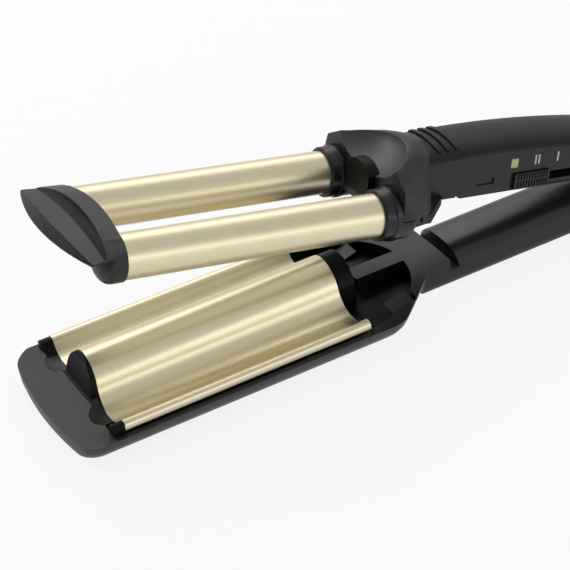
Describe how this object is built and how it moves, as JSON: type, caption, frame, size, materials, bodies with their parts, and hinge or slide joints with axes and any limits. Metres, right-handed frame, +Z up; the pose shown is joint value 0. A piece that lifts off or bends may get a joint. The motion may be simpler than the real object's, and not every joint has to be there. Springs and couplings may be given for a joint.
{
  "type": "hair waver",
  "caption": "Hair waver with gold barrels on a sprung upper arm that close into a waved plate on the lower arm, in charcoal plastic with a slide switch",
  "frame": {"origin": "on the resting plane under the lower arm, straight below the hinge axis", "axes": "+X to the cord end, -X to the tip, -Y to the switch side, +Z up"},
  "size_m": [0.3318, 0.0846, 0.0956],
  "materials": {
    "charcoal_plastic": "fine satin texture",
    "dark_gloss_plastic": "smooth gloss",
    "black_plastic": "heat resistant matt moulding",
    "champagne_metal": "champagne ceramic-tourmaline coating, satin",
    "core_aluminium": "extruded",
    "ceramic": "fired ceramic",
    "board_green": "solder mask",
    "indicator_gold": "translucent amber window",
    "steel": "zinc plated",
    "brass": "turned"
  },
  "bodies": {
    "lower_arm": {"lower_shell": "charcoal_plastic", "tray_frame": "charcoal_plastic", "handle_cover": "dark_gloss_plastic", "wave_plate": "champagne_metal", "plate_carrier": "black_plastic", "plate_heater": "ceramic", "front_end_block": "black_plastic", "rear_end_block": "black_plastic", "shell_screws": "steel", "hinge_pin": "steel", "hinge_spring": "steel"},
    "upper_arm": {"barrel_near": "champagne_metal", "barrel_far": "champagne_metal", "collar_near": "charcoal_plastic", "collar_far": "charcoal_plastic", "heater_core_near": "core_aluminium", "heater_core_far": "core_aluminium", "heater_strips": "ceramic", "front_cap": "charcoal_plastic", "head_top": "charcoal_plastic", "head_bottom": "charcoal_plastic", "handle_top": "charcoal_plastic", "handle_body": "charcoal_plastic", "circuit_board": "board_green", "switch_box": "black_plastic", "indicator_window": "indicator_gold", "handle_screws": "steel", "hinge_bushes": "brass"},
    "slider": {"switch_slider": "black_plastic"},
    "cord_swivel": {"cord_outlet": "black_plastic"}
  },
  "joints": [
    {"name": "arm_hinge", "type": "hinge", "parent": "lower_arm", "child": "upper_arm", "pos_m": [0, 0, 0.0212], "axis": [0, 1, 0], "range_deg": [-12.4, 0], "stiffness_Nm_per_rad": 0.6, "springref_deg": 51.57},
    {"name": "switch_slide", "type": "slide", "parent": "upper_arm", "child": "slider", "axis": [0.9751, 0, -0.2215], "range_m": [0, 0.022]},
    {"name": "cord_swivel_turn", "type": "hinge", "parent": "upper_arm", "child": "cord_swivel", "pos_m": [0, 0, 0.0212], "axis": [0.9751, 0, -0.2215], "continuous": true}
  ]
}
